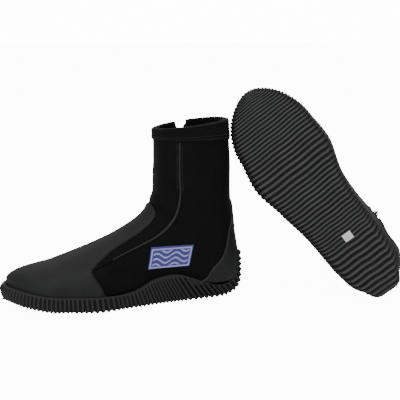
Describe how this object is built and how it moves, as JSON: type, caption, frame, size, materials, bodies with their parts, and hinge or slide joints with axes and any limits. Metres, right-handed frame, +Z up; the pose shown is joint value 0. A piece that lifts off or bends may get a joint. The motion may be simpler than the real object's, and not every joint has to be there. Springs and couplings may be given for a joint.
{
  "type": "dive boots",
  "caption": "Pair of zipped ankle-high neoprene boots with ribbed rubber soles, rubber toe caps and heel counters; one stands and the other leans on it, sole outwards.",
  "frame": {"origin": "on the floor, in the middle of the pair's bounding box", "axes": "+Z up; the standing boot's toe points to -X and its outer side faces -Y; the leaning boot is on the +X side with its sole towards -Y"},
  "size_m": [0.5206, 0.216, 0.2428],
  "materials": {
    "neoprene": "matt knitted face",
    "overlay_rubber": "matt, finely pebbled",
    "sole_rubber": "satin",
    "binding": "matt woven tape",
    "seam_tape": "satin tape",
    "zip_tape": "woven tape",
    "zip_plastic": "moulded, satin",
    "board": "fibreboard",
    "footbed": "knitted lining on foam",
    "emblem": "moulded print, satin",
    "sticker": "glossy label"
  },
  "bodies": {
    "left_boot": {"left_emblem": "emblem", "left_footbed": "footbed", "left_front_panel": "neoprene", "left_heel_counter": "overlay_rubber", "left_inner_quarter": "neoprene", "left_lasting_board": "board", "left_outer_quarter": "neoprene", "left_outsole": "sole_rubber", "left_rim_binding": "binding", "left_side_seam_tape": "seam_tape", "left_toe_cap": "overlay_rubber", "left_toe_panel": "neoprene", "left_zip_base_patch": "overlay_rubber", "left_zip_bottom_stop": "zip_plastic", "left_zip_gusset": "neoprene", "left_zip_tape_front": "zip_tape", "left_zip_tape_rear": "zip_tape", "left_zip_teeth_front": "zip_plastic", "left_zip_teeth_rear": "zip_plastic", "left_zip_top_stop_front": "zip_plastic", "left_zip_top_stop_rear": "zip_plastic"},
    "left_zip_slider": {"left_zip_slider": "zip_plastic"},
    "left_zip_pull": {"left_zip_pull": "zip_plastic"},
    "right_boot": {"right_emblem": "emblem", "right_footbed": "footbed", "right_front_panel": "neoprene", "right_heel_counter": "overlay_rubber", "right_inner_quarter": "neoprene", "right_lasting_board": "board", "right_outer_quarter": "neoprene", "right_outsole": "sole_rubber", "right_rim_binding": "binding", "right_side_seam_tape": "seam_tape", "right_size_sticker": "sticker", "right_toe_cap": "overlay_rubber", "right_toe_panel": "neoprene", "right_zip_base_patch": "overlay_rubber", "right_zip_bottom_stop": "zip_plastic", "right_zip_gusset": "neoprene", "right_zip_tape_front": "zip_tape", "right_zip_tape_rear": "zip_tape", "right_zip_teeth_front": "zip_plastic", "right_zip_teeth_rear": "zip_plastic", "right_zip_top_stop_front": "zip_plastic", "right_zip_top_stop_rear": "zip_plastic"},
    "right_zip_slider": {"right_zip_slider": "zip_plastic"},
    "right_zip_pull": {"right_zip_pull": "zip_plastic"}
  },
  "joints": [
    {"name": "right_boot_lift", "type": "slide", "parent": "left_boot", "child": "right_boot", "axis": [0, 0, 1], "range_m": [0, 0.25]},
    {"name": "left_zip_run", "type": "slide", "parent": "left_boot", "child": "left_zip_slider", "axis": [-0.0931, 0.0299, -0.9952], "range_m": [0, 0.1156]},
    {"name": "left_pull_flip", "type": "hinge", "parent": "left_zip_slider", "child": "left_zip_pull", "pos_m": [-0.04233, 0.04747, 0.18249], "axis": [0.9863, 0.1393, -0.0881], "range_deg": [0, 170]},
    {"name": "right_zip_run", "type": "slide", "parent": "right_boot", "child": "right_zip_slider", "axis": [-0.4841, -0.8587, 0.1681], "range_m": [0, 0.1156]},
    {"name": "right_pull_flip", "type": "hinge", "parent": "right_zip_slider", "child": "right_zip_pull", "pos_m": [0.23658, 0.06416, 0.07051], "axis": [-0.5654, 0.4536, 0.6889], "range_deg": [0, 170]}
  ]
}
